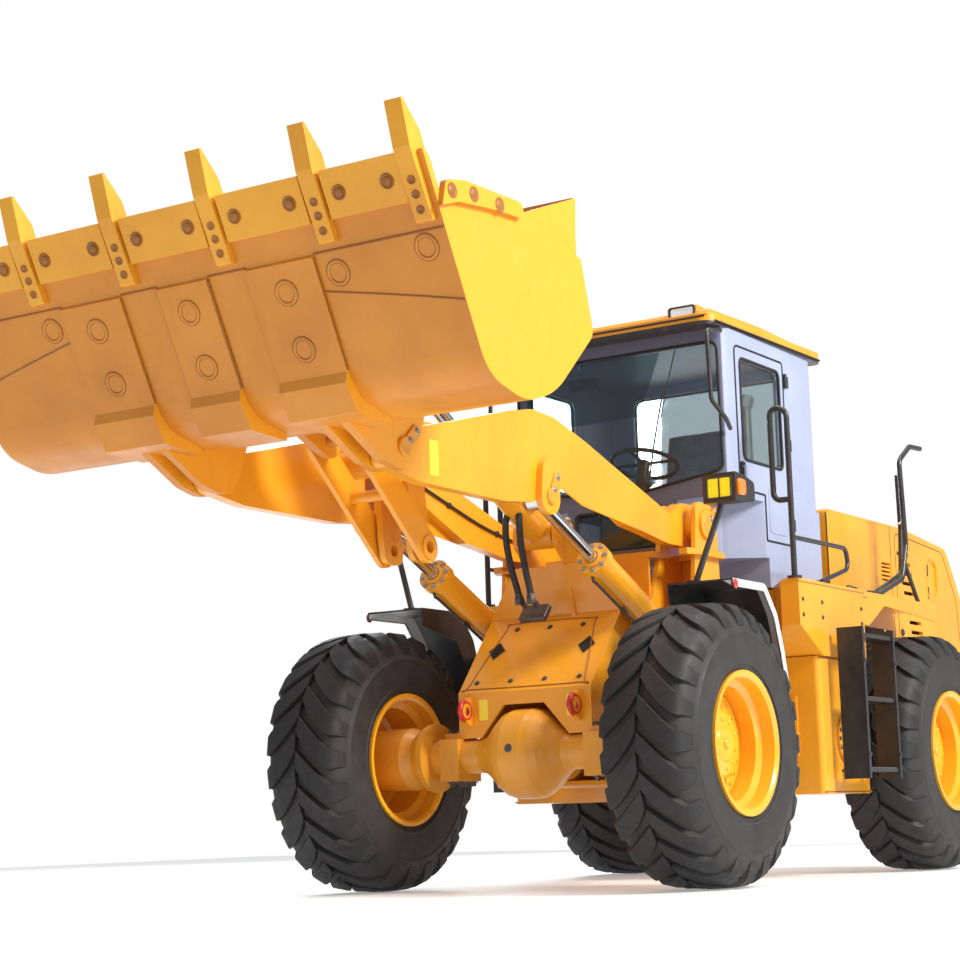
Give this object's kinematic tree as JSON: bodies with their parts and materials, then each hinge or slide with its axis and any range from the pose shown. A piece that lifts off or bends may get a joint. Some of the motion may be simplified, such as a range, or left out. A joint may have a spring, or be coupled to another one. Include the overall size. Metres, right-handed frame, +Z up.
{
  "type": "wheel loader",
  "caption": "Articulated wheel loader with hinged lift arms, tilting toothed bucket, steering joint, turning wheels and opening cab doors.",
  "frame": {"origin": "on the ground under the middle of the bounding box", "axes": "+X towards the bucket, +Y to the left side of the machine, +Z up"},
  "size_m": [8.0095, 2.9, 3.3513],
  "materials": {
    "yellow_paint": "gloss enamel",
    "rim_paint": "gloss enamel",
    "cab_paint": "satin enamel",
    "black_paint": "satin black",
    "fender_black": "satin",
    "tyre_rubber": "matt",
    "hydraulic_chrome": "polished",
    "cast_grey": "rough",
    "axle_paint": "gloss enamel over cast iron",
    "tooth_paint": "gloss enamel over cast steel",
    "tinted_glass": "clear, faint blue tint",
    "lamp_yellow": "yellow lens",
    "seat_cloth": "woven",
    "console_plastic": "grained",
    "steel_pipe": "heat-stained"
  },
  "bodies": {
    "chassis": {"rear_frame": "yellow_paint", "counterweight": "yellow_paint", "rear_axle": "axle_paint", "engine_block": "cast_grey", "hood": "yellow_paint", "rear_grille": "black_paint", "exhaust_stack": "steel_pipe", "fuel_tank_left": "yellow_paint", "hydraulic_tank_right": "yellow_paint", "ladders": "black_paint", "handrails": "black_paint", "cab_body": "cab_paint", "cab_glass": "tinted_glass", "cab_roof": "yellow_paint", "seat": "seat_cloth", "steering_console": "console_plastic", "mirrors": "black_paint"},
    "front_body": {"front_frame": "yellow_paint", "front_axle": "axle_paint", "front_fenders": "fender_black", "work_lamps": "black_paint", "lamp_lenses": "lamp_yellow"},
    "boom_arm": {"boom": "yellow_paint"},
    "bellcrank_lever": {"bellcrank": "yellow_paint"},
    "bucket_tool": {"bucket": "yellow_paint", "bucket_teeth": "tooth_paint"},
    "link_bar": {"bucket_link": "yellow_paint"},
    "lift_tube_left": {"lift_barrel_left": "yellow_paint"},
    "lift_tube_right": {"lift_barrel_right": "yellow_paint"},
    "lift_piston_left": {"lift_rod_left": "hydraulic_chrome"},
    "lift_piston_right": {"lift_rod_right": "hydraulic_chrome"},
    "tilt_tube": {"tilt_barrel": "yellow_paint"},
    "tilt_piston": {"tilt_rod": "hydraulic_chrome"},
    "steer_tube_left": {"steering_barrel_left": "yellow_paint"},
    "steer_tube_right": {"steering_barrel_right": "yellow_paint"},
    "steer_piston_left": {"steering_rod_left": "hydraulic_chrome"},
    "steer_piston_right": {"steering_rod_right": "hydraulic_chrome"},
    "cab_door_left": {"door_left": "cab_paint", "door_glass_left": "tinted_glass"},
    "cab_door_right": {"door_right": "cab_paint", "door_glass_right": "tinted_glass"},
    "wheel_front_left": {"tyre_front_left": "tyre_rubber", "rim_front_left": "rim_paint"},
    "wheel_front_right": {"tyre_front_right": "tyre_rubber", "rim_front_right": "rim_paint"},
    "wheel_rear_left": {"tyre_rear_left": "tyre_rubber", "rim_rear_left": "rim_paint"},
    "wheel_rear_right": {"tyre_rear_right": "tyre_rubber", "rim_rear_right": "rim_paint"}
  },
  "joints": [
    {"name": "articulation", "type": "hinge", "parent": "chassis", "child": "front_body", "pos_m": [-0.5904, 0, 0.735], "axis": [0, 0, 1], "range_deg": [-35, 35]},
    {"name": "wheel_front_left_spin", "type": "hinge", "parent": "front_body", "child": "wheel_front_left", "pos_m": [0.8946, 1.055, 0.735], "axis": [0, 1, 0], "continuous": true},
    {"name": "wheel_front_right_spin", "type": "hinge", "parent": "front_body", "child": "wheel_front_right", "pos_m": [0.8946, -1.055, 0.735], "axis": [0, 1, 0], "continuous": true},
    {"name": "wheel_rear_left_spin", "type": "hinge", "parent": "chassis", "child": "wheel_rear_left", "pos_m": [-2.0754, 1.055, 0.735], "axis": [0, 1, 0], "continuous": true},
    {"name": "wheel_rear_right_spin", "type": "hinge", "parent": "chassis", "child": "wheel_rear_right", "pos_m": [-2.0754, -1.055, 0.735], "axis": [0, 1, 0], "continuous": true},
    {"name": "boom_lift", "type": "hinge", "parent": "front_body", "child": "boom_arm", "pos_m": [-0.0554, 0, 2.03], "axis": [0, -1, 0], "range_deg": [-34, 40]},
    {"name": "bucket_tilt", "type": "hinge", "parent": "boom_arm", "child": "bucket_tool", "pos_m": [2.9146, 0, 2.09], "axis": [0, 1, 0], "range_deg": [0, 105]},
    {"name": "bellcrank_pivot", "type": "hinge", "parent": "boom_arm", "child": "bellcrank_lever", "pos_m": [2.0946, 0, 2.28], "axis": [0, -1, 0], "range_deg": [-1, 66.1]},
    {"name": "bucket_link_pivot", "type": "hinge", "parent": "bucket_tool", "child": "link_bar", "pos_m": [2.5946, 0, 2.24], "axis": [0, -1, 0], "range_deg": [-1, 106]},
    {"name": "lift_tube_left_pivot", "type": "hinge", "parent": "front_body", "child": "lift_tube_left", "pos_m": [0.0346, 0.512, 1.285], "axis": [0, -1, 0], "range_deg": [-32.62, 38.2]},
    {"name": "lift_piston_left_slide", "type": "slide", "parent": "lift_tube_left", "child": "lift_piston_left", "axis": [0.9058, 0, 0.4237], "range_m": [-0.4085, 0.4797]},
    {"name": "lift_tube_right_pivot", "type": "hinge", "parent": "front_body", "child": "lift_tube_right", "pos_m": [0.0346, -0.512, 1.285], "axis": [0, -1, 0], "range_deg": [-32.62, 38.2]},
    {"name": "lift_piston_right_slide", "type": "slide", "parent": "lift_tube_right", "child": "lift_piston_right", "axis": [0.9058, 0, 0.4237], "range_m": [-0.4085, 0.4797]},
    {"name": "tilt_tube_pivot", "type": "hinge", "parent": "front_body", "child": "tilt_tube", "pos_m": [0.6946, 0, 1.95], "axis": [0, -1, 0], "range_deg": [-45.2, 53]},
    {"name": "tilt_piston_slide", "type": "slide", "parent": "tilt_tube", "child": "tilt_piston", "axis": [0.8722, 0, 0.4891], "range_m": [-0.5731, 0.005]},
    {"name": "steer_tube_left_pivot", "type": "hinge", "parent": "chassis", "child": "steer_tube_left", "pos_m": [-1.3054, 0.33, 0.86], "axis": [0, 0, 1], "range_deg": [-10.1, 10.1]},
    {"name": "steer_piston_left_slide", "type": "slide", "parent": "steer_tube_left", "child": "steer_piston_left", "axis": [0.9995, 0.0322, 0], "range_m": [-0.2117, 0.2117]},
    {"name": "steer_tube_right_pivot", "type": "hinge", "parent": "chassis", "child": "steer_tube_right", "pos_m": [-1.3054, -0.33, 0.86], "axis": [0, 0, 1], "range_deg": [-10.1, 10.1]},
    {"name": "steer_piston_right_slide", "type": "slide", "parent": "steer_tube_right", "child": "steer_piston_right", "axis": [0.9995, -0.0322, 0], "range_m": [-0.2117, 0.2117]},
    {"name": "door_left_hinge", "type": "hinge", "parent": "chassis", "child": "cab_door_left", "pos_m": [-1.0404, 0.752, 2.5], "axis": [0, 0, 1], "range_deg": [0, 95]},
    {"name": "door_right_hinge", "type": "hinge", "parent": "chassis", "child": "cab_door_right", "pos_m": [-1.0404, -0.752, 2.5], "axis": [0, 0, -1], "range_deg": [0, 95]}
  ],
  "couplings": [
    {"joint": "bellcrank_pivot", "follows": "bucket_tilt", "ratio": 0.62},
    {"joint": "bucket_link_pivot", "follows": "bucket_tilt", "ratio": 1},
    {"joint": "tilt_tube_pivot", "follows": "boom_lift", "ratio": 1.3},
    {"joint": "tilt_piston_slide", "follows": "bucket_tilt", "m_per_rad": -0.31},
    {"joint": "lift_tube_left_pivot", "follows": "boom_lift", "ratio": 0.93},
    {"joint": "lift_piston_left_slide", "follows": "boom_lift", "m_per_rad": 0.68},
    {"joint": "steer_tube_left_pivot", "follows": "articulation", "ratio": 0.26},
    {"joint": "steer_piston_left_slide", "follows": "articulation", "m_per_rad": -0.34},
    {"joint": "lift_tube_right_pivot", "follows": "boom_lift", "ratio": 0.93},
    {"joint": "lift_piston_right_slide", "follows": "boom_lift", "m_per_rad": 0.68},
    {"joint": "steer_tube_right_pivot", "follows": "articulation", "ratio": 0.26},
    {"joint": "steer_piston_right_slide", "follows": "articulation", "m_per_rad": 0.34}
  ]
}
